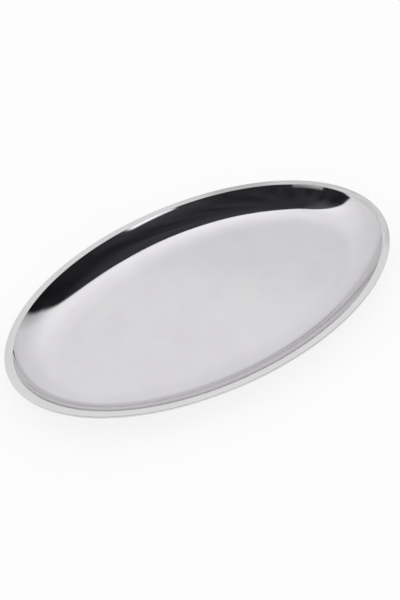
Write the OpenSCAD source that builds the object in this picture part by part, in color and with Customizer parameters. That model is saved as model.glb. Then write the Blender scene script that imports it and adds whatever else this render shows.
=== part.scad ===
// Oval serving tray with a double wall.
// A polished inner dish and a brushed outer shell meet at their flanges. A folded rim band holds
// the flanges together and turns round a stiffening wire at its outer edge. A flat core keeps the
// two floors apart, a plug closes the shell's vent hole, and the tray stands on four round pads.
// +X runs along the tray, +Z up. The origin is on the table, under the middle of the tray.

/* [Outline] */
// Overall length of the tray
tray_length = 450; // [400:5:540]
// Overall width of the tray
tray_width = 256; // [240:1:320]

/* [Rim] */
// Width of the rim band at the two ends
rim_end_width = 8.9; // [8:0.1:11]
// Width of the rim band at the two long sides
rim_side_width = 6.8; // [6.6:0.1:9]
// Drop of the rim's top from its inner edge to its bead
rim_fall = 0.35; // [0.1:0.05:0.5]
// Diameter of the wire inside the rim's rounded outer edge
wire_diameter = 1.5; // [1.4:0.1:2.4]

/* [Well] */
// Radius of the curve that runs from the rim down to the floor
wall_radius = 60; // [48:1:68]
// Slope of the wall where it leaves the rim, in degrees
wall_slope = 49; // [42:1:52]

/* [Sheet metal] */
// Thickness of the inner dish
dish_sheet = 0.8; // [0.6:0.1:1]
// Thickness of the outer shell
shell_sheet = 0.6; // [0.5:0.1:0.8]
// Thickness of the rim band
band_sheet = 0.5; // [0.4:0.1:0.6]

/* [Core and vent] */
// Thickness of the core between the two floors
core_height = 4; // [3:0.5:6]
// Diameter of the vent hole in the shell's floor
vent_diameter = 5; // [4:0.5:7]

/* [Feet] */
// Diameter of each foot pad
foot_diameter = 22; // [16:1:24]
// Height of each foot pad
foot_height = 2.5; // [2:0.5:5]
// How far out the feet stand: 0 is the middle of the shell's floor, and 1 is its edge
foot_spread = 0.86; // [0.7:0.01:0.86]
// Turn round the floor's oval from its long axis to each foot, in degrees
foot_turn = 33; // [25:1:45]

/* [Hidden] */

// Number of flats round the oval, and number of steps down the wall
oval_steps = 96;
wall_steps = 10;
// Angle of one step round the bead, and the least angle of its last step
bead_step = 22.5;
last_step = 2;

// Half length and half width of the oval that the rim's inner edge follows
inner_half_length = tray_length / 2 - rim_end_width;
inner_half_width = tray_width / 2 - rim_side_width;

// Heights, from the table up
shell_under = foot_height;
core_bottom = shell_under + shell_sheet;
core_top = core_bottom + core_height;
floor_top = core_top + dish_sheet;
wall_depth = wall_radius * (1 - cos(wall_slope));
dish_flange_top = floor_top + wall_depth;
shell_flange_top = dish_flange_top - dish_sheet;
rim_top = dish_flange_top + band_sheet;

// The wire is thicker than the two flanges together, so that the band can close round all three
wire_room = 0.1;
wire_radius = max(wire_diameter, dish_sheet + shell_sheet + wire_room) / 2;
// The bead is the band's bend round the wire. This is the centre of both.
bead_radius = wire_radius + band_sheet;
bead_inset = bead_radius - rim_side_width;
bead_height = rim_top - rim_fall - bead_radius;
// Height lost for each millimetre outside the rim's inner edge, where the inset is negative
rim_gradient = rim_fall / bead_inset;
rim_tilt = atan(-rim_gradient);
// Where the two flanges end, just short of the wire
flange_gap = 0.1;
flange_end = bead_inset + wire_radius + flange_gap;
// The shell's wall starts steeper than the dish's, so that the two part below their flanges
shell_slope = wall_slope + 7;
shell_wall_start = -dish_sheet;
shell_wall_depth = wall_depth + core_height - slope_drop(shell_wall_start);
shell_wall_radius = shell_wall_depth / (1 - cos(shell_slope));
// Where the band's hem ends, under the flanges and clear of the shell's bend
hem_gap = 0.3;
hem_end = shell_wall_start - shell_sheet * tan(shell_slope / 2) - hem_gap;

// Insets at which the two floors become flat
dish_floor_inset = wall_radius * sin(wall_slope);
shell_floor_inset = shell_wall_start + shell_wall_radius * sin(shell_slope);

// Clearance between the core's edge and the foot of the wall, and the hole at its middle
core_gap = 2;
core_inset = max(dish_floor_inset, shell_floor_inset) + core_gap;
core_hole_diameter = vent_diameter + 9;
// The plug's outer head and inner lip
plug_head_diameter = vent_diameter + 4;
plug_head_height = 1;
plug_lip_diameter = vent_diameter + 1.6;
plug_lip_height = 1.2;
// Chamfer round the lower edge of a foot pad
foot_chamfer = 0.6;
// Extra length of a cutter beyond what it cuts
cut_extra = 1;

// A point of the oval at an inset from the rim's inner edge. Outside that edge the inset is
// negative, and it stretches towards the ends, where the rim is wider.
function oval_point(inset, height, turn) =
    let (stretch = inset < 0 ? rim_end_width / rim_side_width : 1)
    [
        (inner_half_length - inset * stretch) * cos(turn),
        (inner_half_width - inset) * sin(turn),
        height
    ];

// All the points of a section's rings, one ring for each [inset, height] pair
function oval_points(section) = [
    for (point = section)
        for (i = [0 : oval_steps - 1])
            oval_point(point[0], point[1], i * 360 / oval_steps)
];

// Two triangles for each step between two rings
function strip(ring, next_ring) = [
    for (i = [0 : oval_steps - 1])
        let (
            j = (i + 1) % oval_steps,
            a = ring * oval_steps + i,
            b = ring * oval_steps + j,
            c = next_ring * oval_steps + j,
            d = next_ring * oval_steps + i
        )
        each [[a, b, c], [a, c, d]]
];

// A solid with a flat middle. The section runs from the middle outwards over the top, then back
// underneath.
module oval_disc(section) {
    last = len(section) - 1;
    top_cap = [for (i = [oval_steps - 1 : -1 : 0]) i];
    under_cap = [for (i = [0 : oval_steps - 1]) last * oval_steps + i];
    sides = [for (ring = [0 : last - 1]) each strip(ring, ring + 1)];
    polyhedron(oval_points(section), concat([top_cap], sides, [under_cap]), convexity = 8);
}

// A solid ring with a closed section that runs outwards over the top and back underneath
module oval_ring(section) {
    count = len(section);
    sides = [for (ring = [0 : count - 1]) each strip(ring, (ring + 1) % count)];
    polyhedron(oval_points(section), sides, convexity = 8);
}

// Height lost by the rim's gentle outward slope, at an inset outside its inner edge
function slope_drop(inset) = rim_gradient * min(inset, 0);

// A list in the opposite order
function reversed(list) = [for (i = [len(list) - 1 : -1 : 0]) list[i]];

// The wall's curve from its top down to the level floor, from step first to the last
function wall_curve(inset, height, radius, slope, first = 0) = [
    for (k = [first : wall_steps])
        let (angle = slope * (1 - k / wall_steps))
        [inset + radius * (sin(slope) - sin(angle)), height - radius * (cos(angle) - cos(slope))]
];

// Section of a pressed sheet: floor, curved wall and flange, with the same thickness throughout.
// The flange's height is given at the rim's inner edge, and the wall starts at an inset from it.
function pressed_sheet(inset, flange_top, radius, slope, sheet) =
    let (
        wall_top = flange_top - slope_drop(inset),
        under_inset = inset - sheet * sin(slope),
        under_height = wall_top - sheet * cos(slope),
        end_top = flange_top - slope_drop(flange_end),
        bend_inset = inset - sheet * tan(slope / 2)
    )
    concat(
        reversed(wall_curve(inset, wall_top, radius, slope)),
        [
            [flange_end, end_top],
            [flange_end, end_top - sheet],
            [bend_inset, flange_top - sheet - slope_drop(bend_inset)]
        ],
        wall_curve(under_inset, under_height, radius + sheet, slope, 1)
    );

// A point on a circle about the bead's centre. Angle 0 is the top, and 90 the outer edge.
function bead_point(radius, angle) =
    [bead_inset - radius * sin(angle), bead_height + radius * cos(angle)];

// One skin of the rim band, from the inner edge round the bead to where it meets the line of the
// hem, and back along that line to the hem's end
function band_skin(radius, top, hem) =
    let (
        hem_distance = (rim_top - bead_radius - hem) * cos(rim_tilt),
        leave_angle = 180 + rim_tilt + acos(hem_distance / radius)
    )
    concat(
        [[0, top]],
        [for (angle = [0 : bead_step : leave_angle - last_step]) bead_point(radius, angle)],
        [bead_point(radius, leave_angle), [hem_end, hem - slope_drop(hem_end)]]
    );

// Polished dish that holds the food
module inner_dish() {
    color("gainsboro")
        oval_disc(pressed_sheet(0, dish_flange_top, wall_radius, wall_slope, dish_sheet));
}

// Brushed underside, with the vent hole in the middle of its floor
module outer_shell() {
    color("silver")
        difference() {
            oval_disc(pressed_sheet(
                shell_wall_start, shell_flange_top, shell_wall_radius, shell_slope, shell_sheet
            ));
            translate([0, 0, shell_under - cut_extra])
                cylinder(h = shell_sheet + 2 * cut_extra, d = vent_diameter, $fn = 48);
        }
}

// Satin band, folded over both flanges and the wire
module rim_band() {
    hem_under = shell_flange_top - shell_sheet - band_sheet;
    outside = band_skin(bead_radius, rim_top, hem_under);
    inside = band_skin(wire_radius, rim_top - band_sheet, hem_under + band_sheet);
    color("lightgray")
        oval_ring(concat(outside, reversed(inside)));
}

// Wire that stiffens the rim, inside the bead
module rim_wire() {
    color("dimgray")
        oval_ring([for (angle = [0 : bead_step : 360 - bead_step]) bead_point(wire_radius, angle)]);
}

// Flat core that keeps the floors apart, with room for the plug's lip at its middle
module floor_core() {
    color("beige")
        difference() {
            oval_disc([[core_inset, core_top], [core_inset, core_bottom]]);
            translate([0, 0, core_bottom - cut_extra])
                cylinder(h = core_height + 2 * cut_extra, d = core_hole_diameter, $fn = 48);
        }
}

// Push-in plug: a head under the shell, a neck in the hole and a lip inside
module vent_plug() {
    head_radius = plug_head_diameter / 2;
    neck_radius = vent_diameter / 2;
    lip_radius = plug_lip_diameter / 2;
    head_edge = 0.4;
    color("dimgray")
        translate([0, 0, shell_under])
            rotate_extrude($fn = 48)
                polygon([
                    [0, -plug_head_height],
                    [head_radius - head_edge, -plug_head_height],
                    [head_radius, head_edge - plug_head_height],
                    [head_radius, 0],
                    [neck_radius, 0],
                    [neck_radius, shell_sheet],
                    [lip_radius, shell_sheet],
                    [neck_radius - head_edge, shell_sheet + plug_lip_height],
                    [0, shell_sheet + plug_lip_height]
                ]);
}

// Round pad under one quarter of the tray: end is -1 or 1 along X, and side along Y
module foot_pad(end, side) {
    foot_x = foot_spread * (inner_half_length - shell_floor_inset) * cos(foot_turn);
    foot_y = foot_spread * (inner_half_width - shell_floor_inset) * sin(foot_turn);
    color("dimgray")
        translate([end * foot_x, side * foot_y, 0])
            rotate_extrude($fn = 64)
                polygon([
                    [0, 0],
                    [foot_diameter / 2 - foot_chamfer, 0],
                    [foot_diameter / 2, foot_chamfer],
                    [foot_diameter / 2, foot_height],
                    [0, foot_height]
                ]);
}

inner_dish();
outer_shell();
rim_band();
rim_wire();
floor_core();
vent_plug();
foot_pad(-1, -1);  // foot_pad_front_left
foot_pad(1, -1);  // foot_pad_front_right
foot_pad(-1, 1);  // foot_pad_rear_left
foot_pad(1, 1);  // foot_pad_rear_right
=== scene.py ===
"""Oval serving tray: a polished dish and a brushed shell, joined by a folded satin rim band.

Every piece is a smooth closed mesh in the place and at the size of its CAD node.
Metres, +Z up. An inset is a distance inwards from the rim's inner edge, and it is negative
outside that edge.
"""

import math

import bpy
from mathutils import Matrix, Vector


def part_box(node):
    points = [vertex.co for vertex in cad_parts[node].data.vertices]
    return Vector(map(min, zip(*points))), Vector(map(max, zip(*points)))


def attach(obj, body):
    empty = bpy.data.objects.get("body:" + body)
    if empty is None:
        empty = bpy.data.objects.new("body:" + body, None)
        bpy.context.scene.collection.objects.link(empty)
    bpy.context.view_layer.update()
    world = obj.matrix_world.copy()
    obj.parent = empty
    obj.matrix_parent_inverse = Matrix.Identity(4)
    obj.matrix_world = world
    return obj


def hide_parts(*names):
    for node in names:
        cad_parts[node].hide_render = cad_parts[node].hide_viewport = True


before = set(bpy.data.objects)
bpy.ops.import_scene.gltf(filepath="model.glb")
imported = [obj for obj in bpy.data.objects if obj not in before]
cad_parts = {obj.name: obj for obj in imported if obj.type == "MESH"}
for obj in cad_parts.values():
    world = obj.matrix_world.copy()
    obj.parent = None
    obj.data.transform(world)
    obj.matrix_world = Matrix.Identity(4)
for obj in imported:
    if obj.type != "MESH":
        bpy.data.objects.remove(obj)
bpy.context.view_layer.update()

MM = 0.001

# ---------------------------------------------------------------- sizes
# Driving sizes, as in the CAD model
RIM_END_WIDTH = 8.9 * MM
RIM_SIDE_WIDTH = 6.8 * MM
RIM_FALL = 0.35 * MM
WIRE_RADIUS = 0.75 * MM
BAND_SHEET = 0.5 * MM
WALL_RADIUS = 60.0 * MM
WALL_SLOPE = math.radians(49)
SHELL_SLOPE = math.radians(56)
FLANGE_GAP = 0.1 * MM
HEM_GAP = 0.3 * MM
CORE_HOLE_RADIUS = 7.0 * MM
VENT_RADIUS = 2.5 * MM
# Rounding of the rubber pieces' lower edges
RUBBER_ROUNDING = 0.6 * MM

# Heights and outline, from the frame
shell_low, shell_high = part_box("outer_shell")
core_low, core_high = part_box("floor_core")
band_low, band_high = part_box("rim_band")
plug_low, plug_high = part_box("vent_plug")

INNER_HALF_LENGTH = band_high.x - RIM_END_WIDTH
INNER_HALF_WIDTH = band_high.y - RIM_SIDE_WIDTH
RIM_STRETCH = RIM_END_WIDTH / RIM_SIDE_WIDTH
RIM_TOP = band_high.z
DISH_FLANGE_TOP = RIM_TOP - BAND_SHEET
FLOOR_TOP = DISH_FLANGE_TOP - WALL_RADIUS * (1 - math.cos(WALL_SLOPE))
DISH_SHEET = FLOOR_TOP - core_high.z
SHELL_SHEET = core_low.z - shell_low.z
SHELL_FLANGE_TOP = DISH_FLANGE_TOP - DISH_SHEET
SHELL_WALL_START = -DISH_SHEET

# The bead, which is the band's bend round the wire
BEAD_RADIUS = WIRE_RADIUS + BAND_SHEET
BEAD_INSET = BEAD_RADIUS - RIM_SIDE_WIDTH
BEAD_HEIGHT = RIM_TOP - RIM_FALL - BEAD_RADIUS
RIM_GRADIENT = RIM_FALL / BEAD_INSET
RIM_TILT = math.atan(-RIM_GRADIENT)
FLANGE_END = BEAD_INSET + WIRE_RADIUS + FLANGE_GAP

# Steps of the smooth meshes
OVAL_STEPS = 320
WALL_STEPS = 36
FLOOR_RINGS = 10
EDGE_STEPS = 6
CROWN_STEPS = 6
BEAD_STEPS = 16
ROUND_STEPS = 96
# Edges that turn by more than this are sharp
SHARP_TURN = math.radians(40)


# ---------------------------------------------------------------- mesh tools
class Rings:
    """Points and faces of a piece that is made of rings with the same number of points."""

    def __init__(self, steps):
        self.steps = steps
        self.points = []
        self.faces = []

    def ring(self, points):
        """Adds one ring and returns the numbers of its points."""
        first = len(self.points)
        self.points.extend(points)
        return list(range(first, len(self.points)))

    def join(self, a, b):
        """Quads from ring a to ring b. They face up where b lies outside a."""
        for i in range(self.steps):
            j = (i + 1) % self.steps
            self.faces.append((a[i], b[i], b[j], a[j]))

    def fan(self, ring, height, upper):
        """Triangles from a ring to its middle point, facing up or down."""
        middle = sum((Vector(self.points[i]) for i in ring), Vector()) / self.steps
        self.points.append((middle.x, middle.y, height))
        m = len(self.points) - 1
        for i in range(self.steps):
            j = (i + 1) % self.steps
            self.faces.append((m, ring[i], ring[j]) if upper else (m, ring[j], ring[i]))

    def build(self, name):
        """The finished object, smooth apart from its sharp edges."""
        mesh = bpy.data.meshes.new(name)
        mesh.from_pydata(self.points, [], self.faces)
        mesh.update()
        mesh.shade_smooth()
        mesh.set_sharp_from_angle(angle=SHARP_TURN)
        piece = bpy.data.objects.new(name, mesh)
        bpy.context.scene.collection.objects.link(piece)
        return piece


def ellipse(half_length, half_width, height):
    """The points of an ellipse about the Z axis."""
    turns = [2 * math.pi * i / OVAL_STEPS for i in range(OVAL_STEPS)]
    return [(half_length * math.cos(t), half_width * math.sin(t), height) for t in turns]


def half_sizes(inset):
    """Half length and half width of the oval at an inset. It stretches where the rim is wider."""
    stretch = RIM_STRETCH if inset < 0 else 1.0
    return INNER_HALF_LENGTH - inset * stretch, INNER_HALF_WIDTH - inset


def floor_ellipses(inset, height, hole_radius):
    """Ellipses that fill a flat floor, from its round hole or its middle outwards."""
    half_length, half_width = half_sizes(inset)
    first = 0 if hole_radius else 1
    shares = [k / FLOOR_RINGS for k in range(first, FLOOR_RINGS)]
    return [
        ellipse(
            hole_radius + (half_length - hole_radius) * share,
            hole_radius + (half_width - hole_radius) * share,
            height,
        )
        for share in shares
    ]


def oval_sheet(name, section, hole_radius=0.0):
    """A piece with a flat floor. Its section runs outwards over the top, then back underneath."""
    rings = Rings(OVAL_STEPS)
    floor = floor_ellipses(*section[0], hole_radius)
    under = floor_ellipses(*section[-1], hole_radius)[::-1]
    sides = [ellipse(*half_sizes(inset), height) for inset, height in section]
    loops = [rings.ring(points) for points in floor + sides + under]
    for a, b in zip(loops, loops[1:]):
        rings.join(a, b)
    if hole_radius:
        rings.join(loops[-1], loops[0])
    else:
        rings.fan(loops[0], section[0][1], True)
        rings.fan(loops[-1], section[-1][1], False)
    return rings.build(name)


def oval_loop(name, section):
    """A ring-shaped piece with a closed section that runs outwards over the top."""
    rings = Rings(OVAL_STEPS)
    loops = [rings.ring(ellipse(*half_sizes(inset), height)) for inset, height in section]
    for a, b in zip(loops, loops[1:] + loops[:1]):
        rings.join(a, b)
    return rings.build(name)


def turned(name, section, centre):
    """A round piece. Its section of (radius, height) runs from the axis over the top and back."""
    rings = Rings(ROUND_STEPS)
    turns = [2 * math.pi * i / ROUND_STEPS for i in range(ROUND_STEPS)]
    loops = [
        rings.ring([(centre.x + r * math.cos(t), centre.y + r * math.sin(t), z) for t in turns])
        for r, z in section[1:-1]
    ]
    rings.fan(loops[0], section[0][1], True)
    for a, b in zip(loops, loops[1:]):
        rings.join(a, b)
    rings.fan(loops[-1], section[-1][1], False)
    return rings.build(name)


def place(piece, material, slot, node_name):
    """Gives a piece its material and body, and lets it stand for its CAD node."""
    piece.data.materials.append(material)
    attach(piece, "root")
    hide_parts(node_name)


# ---------------------------------------------------------------- sections
def arc(centre, radius, start, end, steps):
    """Points on an arc. Angle 0 is the top, and a quarter turn on is the outermost point."""
    angles = [start + (end - start) * k / steps for k in range(steps + 1)]
    return [(centre[0] - radius * math.sin(a), centre[1] + radius * math.cos(a)) for a in angles]


def slope_drop(inset):
    """Height lost by the rim's outward slope at an inset."""
    return RIM_GRADIENT * min(inset, 0)


def wall_curve(inset, height, radius, slope):
    """The wall's curve from its top down to the level floor."""
    centre = (inset + radius * math.sin(slope), height + radius * math.cos(slope))
    angles = [slope * (1 - k / WALL_STEPS) for k in range(WALL_STEPS + 1)]
    return [(centre[0] - radius * math.sin(a), centre[1] - radius * math.cos(a)) for a in angles]


def pressed_section(inset, flange_top, radius, slope, sheet):
    """A pressed sheet of even thickness: floor, curved wall and flange, then back underneath."""
    wall_top = flange_top - slope_drop(inset)
    end_top = flange_top - slope_drop(FLANGE_END)
    bend = inset - sheet * math.tan(slope / 2)
    under_inset = inset - sheet * math.sin(slope)
    under_height = wall_top - sheet * math.cos(slope)
    over = wall_curve(inset, wall_top, radius, slope)[::-1]
    flange = [
        (FLANGE_END, end_top),
        (FLANGE_END, end_top - sheet),
        (bend, flange_top - sheet - slope_drop(bend)),
    ]
    return over + flange + wall_curve(under_inset, under_height, radius + sheet, slope)[1:]


def hem_skin(radius, start, hem):
    """One skin of the band: round the bead from an angle, and back along the hem to its end."""
    hem_end = SHELL_WALL_START - SHELL_SHEET * math.tan(SHELL_SLOPE / 2) - HEM_GAP
    distance = (RIM_TOP - BEAD_RADIUS - hem) * math.cos(RIM_TILT)
    leave = math.pi + RIM_TILT + math.acos(distance / radius)
    bead = arc((BEAD_INSET, BEAD_HEIGHT), radius, start, leave, BEAD_STEPS)
    return bead + [(hem_end, hem - slope_drop(hem_end))]


def crown(start, end, end_slope):
    """A gentle curve from a level start to an end with a slope, without either end point."""
    shares = [k / CROWN_STEPS for k in range(1, CROWN_STEPS)]
    run = start[0] - end[0]
    fall = start[1] - end[1]
    steep = run * math.tan(end_slope)
    return [
        (start[0] - run * s, start[1] - fall * (3 * s * s - 2 * s**3) - steep * (s**3 - s * s))
        for s in shares
    ]


def band_section():
    """The rim band: a rounded lip, a gently crowned top, the bead and the hem."""
    hem = SHELL_FLANGE_TOP - SHELL_SHEET - BAND_SHEET
    lip = BAND_SHEET / 2
    lip_curve = arc((-lip, RIM_TOP - lip), lip, -math.pi, 0, EDGE_STEPS)
    outside = hem_skin(BEAD_RADIUS, 2 * RIM_TILT, hem)
    inside = hem_skin(WIRE_RADIUS, 0, hem + BAND_SHEET)
    return lip_curve + crown(lip_curve[-1], outside[0], 2 * RIM_TILT) + outside + inside[::-1]


# ---------------------------------------------------------------- node tools
UP = (0.0, 0.0, 1.0)


def node(tree, kind, inputs=(), **settings):
    """Adds a node, sets its properties, and fills or links its inputs."""
    made = tree.nodes.new(kind)
    for key, value in settings.items():
        setattr(made, key, value)
    for key, value in dict(inputs).items():
        if isinstance(value, bpy.types.NodeSocket):
            tree.links.new(value, made.inputs[key])
        else:
            made.inputs[key].default_value = value
    return made


def maths(tree, operation, a, b=0.0):
    """The result of a Math node."""
    return node(tree, "ShaderNodeMath", {0: a, 1: b}, operation=operation).outputs[0]


def times(tree, first, *others):
    """The product of some values."""
    for other in others:
        first = maths(tree, "MULTIPLY", first, other)
    return first


def plus(tree, first, *others):
    """The sum of some values."""
    for other in others:
        first = maths(tree, "ADD", first, other)
    return first


def minus(tree, a, b):
    """One value less another."""
    return maths(tree, "SUBTRACT", a, b)


def vector_maths(tree, operation, inputs, output="Value"):
    """The result of a Vector Math node."""
    return node(tree, "ShaderNodeVectorMath", inputs, operation=operation).outputs[output]


def along(tree, vector, axis):
    """How far a point or a direction lies along an axis."""
    return vector_maths(tree, "DOT_PRODUCT", {0: vector, 1: axis})


def scaled(tree, vector, factor):
    """A vector or a colour times a factor."""
    return vector_maths(tree, "SCALE", {0: vector, "Scale": factor}, "Vector")


def combined(tree, x, y, z=0.0):
    """A vector made of three values."""
    return node(tree, "ShaderNodeCombineXYZ", {0: x, 1: y, 2: z}).outputs["Vector"]


def step(tree, value, low, high, first=0.0, last=1.0):
    """A smooth step from first to last while the value goes from low to high."""
    inputs = {"Value": value, "From Min": low, "From Max": high, "To Min": first, "To Max": last}
    made = node(tree, "ShaderNodeMapRange", inputs, interpolation_type="SMOOTHSTEP")
    return made.outputs["Result"]


def above(tree, value, limit, soft):
    """1 where a value is above a limit and 0 below it, with a soft edge."""
    return step(tree, minus(tree, value, limit), -soft, soft)


def portion(tree, value, low, high):
    """A value's share of the way from low to high."""
    inputs = {"Value": value, "From Min": low, "From Max": high}
    return node(tree, "ShaderNodeMapRange", inputs).outputs["Result"]


def noise(tree, vector, scale, detail=3.0, roughness=0.5):
    """A noise texture's grey value. Its scale is in blobs per unit of the coordinates."""
    inputs = {"Vector": vector, "Scale": scale, "Detail": detail, "Roughness": roughness}
    return node(tree, "ShaderNodeTexNoise", inputs).outputs["Fac"]


def colours(tree, value, stops):
    """The colour of a ramp with (position, colour) stops."""
    made = node(tree, "ShaderNodeValToRGB", {"Fac": value})
    elements = made.color_ramp.elements
    while len(elements) < len(stops):
        elements.new(0.5)
    for element, (position, colour) in zip(elements, stops):
        element.position = position
        element.color = (*colour, 1)
    return made.outputs["Color"]


def blend(tree, value, dark, light):
    """A colour between dark and light, from a noise's grey value."""
    return colours(tree, value, [(0.3, dark), (0.7, light)])


def ramp(tree, value, low, high, pairs):
    """A value that follows (place, level) pairs between a low and a high place."""
    stops = [((place - low) / (high - low), (level,) * 3) for place, level in pairs]
    return colours(tree, portion(tree, value, low, high), stops)


def mix(tree, amount, first, last):
    """A colour that goes from first to last as an amount goes from 0 to 1."""
    inputs = {0: amount, 6: first, 7: last}
    return node(tree, "ShaderNodeMix", inputs, data_type="RGBA").outputs[2]


def bump(tree, height, distance, strength, normal=None):
    """A bump from a height value, on top of another bump if there is one."""
    inputs = {"Height": height, "Distance": distance, "Strength": strength}
    if normal is not None:
        inputs["Normal"] = normal
    return node(tree, "ShaderNodeBump", inputs).outputs["Normal"]


def stretched(tree, vector, scale):
    """Coordinates scaled differently along X, Y and Z."""
    return node(tree, "ShaderNodeMapping", {"Vector": vector, "Scale": scale}).outputs["Vector"]


def oval_reach(tree, vector):
    """How far out a point lies: 0 in the middle and 1 at the rim's inner edge."""
    flat = stretched(tree, vector, (1 / INNER_HALF_LENGTH, 1 / INNER_HALF_WIDTH, 0))
    return vector_maths(tree, "LENGTH", {0: flat})


def oval_lines(tree, vector, slow, fast):
    """Coordinates for marks that follow the rim: slow along the oval and fast across it."""
    lengthwise = node(tree, "ShaderNodeSeparateXYZ", {0: stretched(tree, vector, (slow,) * 3)})
    across = times(tree, oval_reach(tree, vector), fast)
    return combined(tree, lengthwise.outputs[0], lengthwise.outputs[1], across)


def new_material(name, **settings):
    """A new material: its tree, its shader and its coordinates in metres."""
    material = bpy.data.materials.new(name)
    material.use_nodes = True
    tree = material.node_tree
    shader = tree.nodes["Principled BSDF"]
    for key, value in settings.items():
        shader.inputs[key.replace("_", " ")].default_value = value
    return material, shader, tree, node(tree, "ShaderNodeTexCoord").outputs["Object"]


def link(tree, shader, **values):
    """Links values to the shader's sockets."""
    for key, value in values.items():
        tree.links.new(value, shader.inputs[key.replace("_", " ")])


# ---------------------------------------------------------------- materials
# Painted shade: the tray's colour is darker in one quarter, standing in for darker reflections
# there, and its rim is darkest near one spot there
PAINTED_SHADE_BEARING = math.radians(34.3)
PAINTED_SHADE_SIDE = (math.cos(PAINTED_SHADE_BEARING), math.sin(PAINTED_SHADE_BEARING), 0.0)
PAINTED_SHADE_SPOT = (0.529 * band_high.x, 0.75 * band_high.y, RIM_TOP)


def polished_steel():
    """Mirror-polished steel with faint waviness, hand-polishing marks that follow the oval, and
    painted shade on its floor at one end.
    """
    material, shader, tree, vector = new_material("polished steel", Metallic=1.0)
    waves = noise(tree, vector, 14.0, 2.0)
    marks = noise(tree, oval_lines(tree, vector, 25.0, 160.0), 1.0, 4.0, 0.6)
    haze = noise(tree, vector, 30.0, 3.0)
    height = along(tree, vector, UP)
    # Painted shade: the floor's colour is darker towards one end, standing in for a darker
    # reflection there
    on_floor = step(tree, height, FLOOR_TOP + 0.05 * MM, FLOOR_TOP + 2.2 * MM, 1.0, 0.0)
    painted_shade_end = step(tree, along(tree, vector, PAINTED_SHADE_SIDE), -10 * MM, 100 * MM)
    unshaded_colour = blend(tree, haze, (0.675, 0.66, 0.68), (0.705, 0.692, 0.706))
    painted_shade_colour = blend(tree, haze, (0.61, 0.597, 0.617), (0.64, 0.628, 0.642))
    link(
        tree,
        shader,
        Base_Color=mix(tree, times(tree, on_floor, painted_shade_end), unshaded_colour, painted_shade_colour),
        Roughness=step(tree, marks, 0.3, 0.7, 0.03, 0.07),
        Normal=bump(tree, marks, 0.02 * MM, 0.3, bump(tree, waves, 0.25 * MM, 0.5)),
    )
    return material


def satin_steel():
    """Satin steel, brushed along the rim and softer on its lip and round the bead, with painted
    shade on one stretch of the rim.
    """
    material, shader, tree, vector = new_material("satin steel")
    lines = noise(tree, oval_lines(tree, vector, 40.0, 1500.0), 1.0, 4.0, 0.65)
    # The small rounded edges are partly diffuse, so that they don't turn dark
    bend_start = RIM_TOP - RIM_FALL
    height = along(tree, vector, UP)
    off_bead = step(tree, height, bend_start - 0.25 * MM, bend_start + 0.05 * MM, 0.4, 1.0)
    off_lip = step(tree, oval_reach(tree, vector), 1.0008, 1.0025, 0.1, 1.0)
    # Haze, less the painted shade that darkens the rim's colour near one spot and towards one end
    haze = noise(tree, oval_lines(tree, vector, 30.0, 150.0), 1.0, 3.0)
    from_spot = vector_maths(tree, "DISTANCE", {0: vector, 1: PAINTED_SHADE_SPOT})
    spot_shade = step(tree, from_spot, 50 * MM, 5 * MM, 0.0, 0.4)
    painted_shade_end = step(tree, along(tree, vector, PAINTED_SHADE_SIDE), 95 * MM, 140 * MM, 0.0, 0.3)
    tone = minus(tree, minus(tree, haze, spot_shade), painted_shade_end)
    # The darkest stop is reached only where the painted shade darkens the rim
    pale = [(0.0, (0.5, 0.495, 0.5)), (0.3, (0.676, 0.666, 0.676)), (0.7, (0.715, 0.705, 0.715))]
    link(
        tree,
        shader,
        Base_Color=colours(tree, tone, pale),
        Metallic=maths(tree, "MINIMUM", off_bead, off_lip),
        Roughness=step(tree, lines, 0.3, 0.7, 0.26, 0.36),
        Normal=bump(tree, lines, 0.03 * MM, 0.25),
    )
    return material


def brushed_steel():
    """Brushed steel of the underside, with lines along the tray."""
    material, shader, tree, vector = new_material("brushed steel", Metallic=1.0)
    lines = noise(tree, stretched(tree, vector, (12.0, 900.0, 30.0)), 1.0, 4.0, 0.7)
    haze = noise(tree, vector, 25.0, 3.0)
    link(
        tree,
        shader,
        Base_Color=blend(tree, haze, (0.6, 0.6, 0.605), (0.68, 0.68, 0.685)),
        Roughness=step(tree, lines, 0.3, 0.7, 0.24, 0.42),
        Normal=bump(tree, lines, 0.04 * MM, 0.5),
    )
    return material


def drawn_wire():
    """Plain drawn steel wire with lines along it."""
    material, shader, tree, vector = new_material("drawn wire", Metallic=1.0)
    lines = noise(tree, oval_lines(tree, vector, 60.0, 2500.0), 1.0, 3.0, 0.6)
    link(
        tree,
        shader,
        Base_Color=blend(tree, lines, (0.4, 0.4, 0.41), (0.55, 0.55, 0.56)),
        Roughness=step(tree, lines, 0.3, 0.7, 0.35, 0.5),
        Normal=bump(tree, lines, 0.03 * MM, 0.5),
    )
    return material


def foam_board():
    """Fine rigid foam with closed cells."""
    material, shader, tree, vector = new_material("foam board", Roughness=0.85)
    cells = node(tree, "ShaderNodeTexVoronoi", {"Vector": vector, "Scale": 900.0})
    haze = noise(tree, vector, 40.0, 3.0)
    link(
        tree,
        shader,
        Base_Color=blend(tree, haze, (0.76, 0.72, 0.62), (0.84, 0.81, 0.72)),
        Normal=bump(tree, cells.outputs["Distance"], 0.15 * MM, 0.8),
    )
    return material


def silicone():
    """Dark grey matt silicone with a fine moulded grain and a little dust."""
    material, shader, tree, vector = new_material("grey silicone")
    grain = noise(tree, vector, 2600.0, 2.0)
    dust = noise(tree, vector, 180.0, 4.0, 0.6)
    link(
        tree,
        shader,
        Base_Color=blend(tree, dust, (0.055, 0.055, 0.058), (0.085, 0.085, 0.088)),
        Roughness=step(tree, dust, 0.3, 0.7, 0.5, 0.68),
        Normal=bump(tree, grain, 0.05 * MM, 0.6),
    )
    return material


# ---------------------------------------------------------------- pieces
def make_dish(material):
    """The polished dish."""
    section = pressed_section(0.0, DISH_FLANGE_TOP, WALL_RADIUS, WALL_SLOPE, DISH_SHEET)
    place(oval_sheet("polished_dish", section), material, "polished_steel", "inner_dish")


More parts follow.
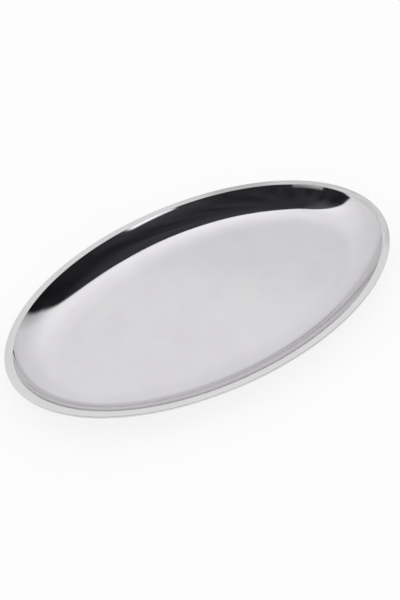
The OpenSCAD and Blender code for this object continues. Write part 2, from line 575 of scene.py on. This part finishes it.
def make_shell(material):
    """The brushed shell, with its vent hole. Its depth comes from the frame."""
    depth = SHELL_FLANGE_TOP - slope_drop(SHELL_WALL_START) - core_low.z
    radius = depth / (1 - math.cos(SHELL_SLOPE))
    section = pressed_section(SHELL_WALL_START, SHELL_FLANGE_TOP, radius, SHELL_SLOPE, SHELL_SHEET)
    shell = oval_sheet("brushed_shell", section, VENT_RADIUS)
    place(shell, material, "brushed_steel", "outer_shell")


def make_band(material):
    """The satin rim band."""
    place(oval_loop("satin_rim_band", band_section()), material, "satin_steel", "rim_band")


def make_wire(material):
    """The wire inside the bead."""
    section = arc((BEAD_INSET, BEAD_HEIGHT), WIRE_RADIUS, 0, 2 * math.pi, BEAD_STEPS)[:-1]
    place(oval_loop("edge_wire", section), material, "plain_wire", "rim_wire")


def make_core(material):
    """The foam core between the floors, with a hole round the vent."""
    inset = INNER_HALF_LENGTH - core_high.x
    section = [(inset, core_high.z), (inset, core_low.z)]
    place(oval_sheet("foam_core", section, CORE_HOLE_RADIUS), material, "core_foam", "floor_core")


def rounded_corner(radius, low):
    """The round lower corner of a rubber piece, from its side in to its underside."""
    edge = RUBBER_ROUNDING
    angles = [math.pi / 2 * k / EDGE_STEPS for k in range(EDGE_STEPS + 1)]
    return [(radius - edge * (1 - math.cos(a)), low + edge * (1 - math.sin(a))) for a in angles]


def make_plug(material):
    """The push-in vent plug: a lip inside the shell, a neck in its hole and a rounded head."""
    head_radius = plug_high.x
    lip_radius = VENT_RADIUS + 0.8 * MM
    tip_radius = VENT_RADIUS - 0.4 * MM
    neck_top = shell_low.z + SHELL_SHEET
    section = [
        (0, plug_high.z),
        (tip_radius - 0.5 * MM, plug_high.z),
        (tip_radius, plug_high.z - 0.15 * MM),
        (lip_radius, neck_top),
        (VENT_RADIUS, neck_top),
        (VENT_RADIUS, shell_low.z),
        (head_radius, shell_low.z),
    ]
    section += rounded_corner(head_radius, plug_low.z)
    section += [(0, plug_low.z)]
    place(turned("push_in_plug", section, Vector()), material, "grey_silicone", "vent_plug")


def make_foot(node_name, material):
    """A foot pad with a rounded lower edge and a shallow groove round its underside."""
    low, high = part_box(node_name)
    radius = (high.x - low.x) / 2
    chamfer = 0.2 * MM
    groove_inside = radius * 0.6
    groove_outside = radius * 0.72
    groove_slant = radius * 0.02
    groove_top = low.z + 0.35 * MM
    section = [(0, high.z), (radius - chamfer, high.z), (radius, high.z - chamfer)]
    section += rounded_corner(radius, low.z)
    section += [
        (groove_outside, low.z),
        (groove_outside - groove_slant, groove_top),
        (groove_inside + groove_slant, groove_top),
        (groove_inside, low.z),
        (0, low.z),
    ]
    foot = turned("round_" + node_name, section, (low + high) / 2)
    place(foot, material, "grey_silicone", node_name)


# ---------------------------------------------------------------- studio
# Where the camera stands, as seen from the tray, and how far it aims to the right of and above the
# middle of the rim
CAMERA_YAW = math.radians(36.43)
CAMERA_ELEVATION = math.radians(46)
CAMERA_DISTANCE = 1.632
CAMERA_LENS = 96.0
AIM_RIGHT = -4.06 * MM
AIM_UP = -10.35 * MM
AWAY = Vector((math.sin(CAMERA_YAW), math.cos(CAMERA_YAW), 0))
RIGHT = Vector((math.cos(CAMERA_YAW), -math.sin(CAMERA_YAW), 0))


def make_camera():
    """The camera, which looks down at the tray from its front left."""
    tilt = CAMERA_ELEVATION
    back = Vector((0, 0, math.sin(tilt))) - AWAY * math.cos(tilt)
    up = Vector((0, 0, math.cos(tilt))) + AWAY * math.sin(tilt)
    data = bpy.data.cameras.new("camera")
    data.lens = CAMERA_LENS
    data.sensor_width = 36.0
    camera = bpy.data.objects.new("camera", data)
    aim = Vector((0, 0, RIM_TOP)) + RIGHT * AIM_RIGHT + up * AIM_UP
    camera.location = aim + back * CAMERA_DISTANCE
    camera.rotation_mode = "QUATERNION"
    camera.rotation_quaternion = (-back).to_track_quat("-Z", "Y")
    bpy.context.scene.collection.objects.link(camera)
    bpy.context.scene.camera = camera


def floor_material():
    """Plain white acrylic of a light table, lit from below so that its shadows stay pale."""
    material, shader, tree, vector = new_material(
        "light table",
        Roughness=0.9,
        Specular_IOR_Level=0.0,
        Emission_Color=(1, 1, 1, 1),
        Emission_Strength=0.76,
    )
    grain = noise(tree, vector, 3.0, 2.0)
    link(tree, shader, Base_Color=blend(tree, grain, (0.215, 0.215, 0.215), (0.225, 0.225, 0.225)))
    return material


def make_floor():
    """A large pale floor."""
    reach = 8.0
    mesh = bpy.data.meshes.new("studio_floor")
    corners = [(-reach, -reach, 0), (reach, -reach, 0), (reach, reach, 0), (-reach, reach, 0)]
    mesh.from_pydata(corners, [], [(0, 1, 2, 3)])
    mesh.materials.append(floor_material())
    floor = bpy.data.objects.new("studio_floor", mesh)
    bpy.context.scene.collection.objects.link(floor)


# ---------------------------------------------------------------- room
# The polished steel mirrors a room that lies far off all round the tray. A direction in it has a
# bearing from the middle of the room's dark side, positive to the right, and an elevation. Both
# are in degrees.
ROOM_TURN = math.radians(21)
DARK_MIDDLE = RIGHT * math.sin(ROOM_TURN) - AWAY * math.cos(ROOM_TURN)
DARK_RIGHT = RIGHT * math.cos(ROOM_TURN) + AWAY * math.sin(ROOM_TURN)
# The share of the light that the polished steel gives back, so that levels are as seen in it
STEEL_REFLECTANCE = 0.69
# Tint of the dark side's faint light, and the spread of its streaks in bearing and in elevation
BLUISH = (1.03, 1.03, 1.15)
STREAK_SPAN = 13
STREAK_RISE = 45


def light_patch(tree, bearing, elevation, low, high, top, soft, strength):
    """A patch of light between two bearings, from the horizon up to a soft top."""
    inside = times(tree, above(tree, bearing, low, 1), above(tree, high, bearing, 1))
    return times(tree, inside, above(tree, top, elevation, soft), strength)


def dark_side(tree, bearing, elevation):
    """1 on the dark side. Its edges lean outwards, and light patches cut into its foot."""
    # Some elevations, and how far each edge is from the middle there
    left_edge = [(37, 85.5), (45, 86.3), (55, 89.5), (66, 91.4), (70, 92.8), (74, 94.5)]
    left_edge += [(80, 99), (86, 110)]
    right_edge = [(32, 86.1), (40, 88.7), (50, 93.1), (55, 95.4), (60, 97), (64, 97)]
    right_edge += [(68, 94.6), (75, 92.2), (82, 95)]
    left = times(tree, ramp(tree, elevation, 0, 90, left_edge), -1)
    right = ramp(tree, elevation, 0, 90, right_edge)
    dark = times(tree, above(tree, bearing, left, 2.5), above(tree, right, bearing, 1.8))
    # The two bearings of each light patch, its top, the top's softness and its strength
    fading = step(tree, bearing, -18, -46, 0.12, 0.4)
    patches = [(-100, -46, 36, 1, 1), (-46, -18, 42, 4.5, fading), (-19, 31, 26, 1, 1)]
    patches += [(33, 46, 35, 1.5, 0.75), (46, 100, 5, 2, 1)]
    for patch in patches:
        dark = times(tree, dark, minus(tree, 1, light_patch(tree, bearing, elevation, *patch)))
    return dark


def unevenness(tree, bearing, elevation):
    """How much lighter or darker parts of the pale walls are, as shares of their light."""
    # Bearings from 0 to 360, which jump only in the middle of the dark side
    full_turn = maths(tree, "FLOORED_MODULO", bearing, 360)
    far_foot = times(
        tree,
        ramp(tree, full_turn, 0, 360, [(112, 0), (132, 1), (172, 1), (192, 0)]),
        ramp(tree, elevation, 0, 90, [(0, 0.2), (5, 0.16), (10, 0)]),
    )
    far_middle = times(
        tree,
        ramp(tree, full_turn, 0, 360, [(138, 0), (163, 1), (188, 0.7), (230, 0)]),
        ramp(tree, elevation, 0, 90, [(8, 0), (15, 0.08), (34, 0.08), (46, 0)]),
    )
    high_left = times(tree, step(tree, full_turn, 232, 262, 0, 0.06), step(tree, elevation, 44, 60))
    right = times(
        tree,
        ramp(tree, bearing, 80, 140, [(80, 0), (92, 0.14), (108, 0.12), (128, 0.02), (140, 0)]),
        ramp(tree, elevation, 0, 90, [(20, 0), (30, 0.7), (50, 1)]),
    )
    beside_dark_side = times(
        tree,
        ramp(tree, bearing, 78, 98, [(79, 0), (83, 0.6), (88, 0.36), (92, 0.19), (97, 0)]),
        step(tree, elevation, 50, 26),
    )
    lighter = plus(tree, far_middle, high_left, right)
    return minus(tree, lighter, plus(tree, far_foot, beside_dark_side))


def pale_side(tree, bearing, elevation):
    """The light of the pale walls, brightest low in front and darkest at the far horizon."""
    heights = [(0, 0.45), (3, 0.52), (8, 0.57), (14, 0.59), (33, 0.61), (45, 0.675), (60, 0.715)]
    heights += [(75, 0.755), (85, 0.76)]
    turns = [(-180, 0.96), (-150, 0.98), (-110, 1.03), (-75, 1.05), (-50, 1.15), (-20, 2.8)]
    turns += [(30, 2.8), (60, 1.15), (90, 0.98), (100, 0.98), (125, 1.02), (150, 1.02), (180, 0.96)]
    light = times(
        tree, ramp(tree, elevation, 0, 90, heights), ramp(tree, bearing, -180, 180, turns)
    )
    return times(tree, light, plus(tree, 1, unevenness(tree, bearing, elevation)))


def gloom(tree, bearing, elevation):
    """The faint uneven light of the dark side: soft streaks, and a glow round one light patch."""
    streak_x = maths(tree, "DIVIDE", bearing, STREAK_SPAN)
    streak_y = maths(tree, "DIVIDE", elevation, STREAK_RISE)
    pattern = noise(tree, combined(tree, streak_x, streak_y), 1.0, 3.0, 0.55)
    streaks = step(tree, pattern, 0.3, 0.7, -0.35, 0.35)
    streaks = times(tree, streaks, step(tree, elevation, 80, 58))
    everywhere = step(tree, elevation, 45, 82, 0.019, 0.026)
    left = step(tree, bearing, -30, -92, 0.0, 0.045)
    left = times(tree, left, step(tree, elevation, 56, 76, -0.15, 1.0))
    right = times(tree, step(tree, bearing, 45, 74), step(tree, elevation, 42, 62, -0.01, 0.01))
    level = plus(tree, everywhere, left, right)
    from_patch = combined(tree, minus(tree, bearing, 37), minus(tree, elevation, 34))
    glow = step(tree, vector_maths(tree, "LENGTH", {0: from_patch}), 24, 2, 0.0, 0.02)
    return plus(tree, times(tree, level, plus(tree, 1, streaks)), glow)


def room_light(tree, direction):
    """The light of a soft white room with one dark side, in a direction from the tray."""
    to_right = along(tree, direction, DARK_RIGHT)
    to_middle = along(tree, direction, DARK_MIDDLE)
    bearing = times(tree, maths(tree, "ARCTAN2", to_right, to_middle), math.degrees(1))
    elevation = times(tree, maths(tree, "ARCSINE", along(tree, direction, UP)), math.degrees(1))
    pale = pale_side(tree, bearing, elevation)
    faint = scaled(tree, BLUISH, gloom(tree, bearing, elevation))
    seen = mix(tree, dark_side(tree, bearing, elevation), pale, faint)
    return scaled(tree, seen, 1 / STEEL_REFLECTANCE)


def make_room():
    """The surroundings. Glossy surfaces mirror the room, and all else is lit by plain white."""
    world = bpy.data.worlds.new("room")
    bpy.context.scene.world = world
    world.use_nodes = True
    world.cycles.sampling_method = "NONE"
    tree = world.node_tree
    tree.nodes.clear()
    direction = node(tree, "ShaderNodeTexCoord").outputs["Generated"]
    plain = node(tree, "ShaderNodeBackground", {"Color": (1, 1, 1, 1)})
    room = node(tree, "ShaderNodeBackground", {"Color": room_light(tree, direction)})
    rays = node(tree, "ShaderNodeLightPath")
    sources = {0: rays.outputs["Is Glossy Ray"], 1: plain.outputs[0], 2: room.outputs[0]}
    shown = node(tree, "ShaderNodeMixShader", sources)
    node(tree, "ShaderNodeOutputWorld", {"Surface": shown.outputs[0]})


bpy.context.scene.view_settings.view_transform = "Standard"
make_dish(polished_steel())
make_shell(brushed_steel())
make_band(satin_steel())
make_wire(drawn_wire())
make_core(foam_board())
rubber = silicone()
make_plug(rubber)
for corner in ("front_left", "front_right", "rear_left", "rear_right"):
    make_foot("foot_pad_" + corner, rubber)
make_floor()
make_room()
make_camera()
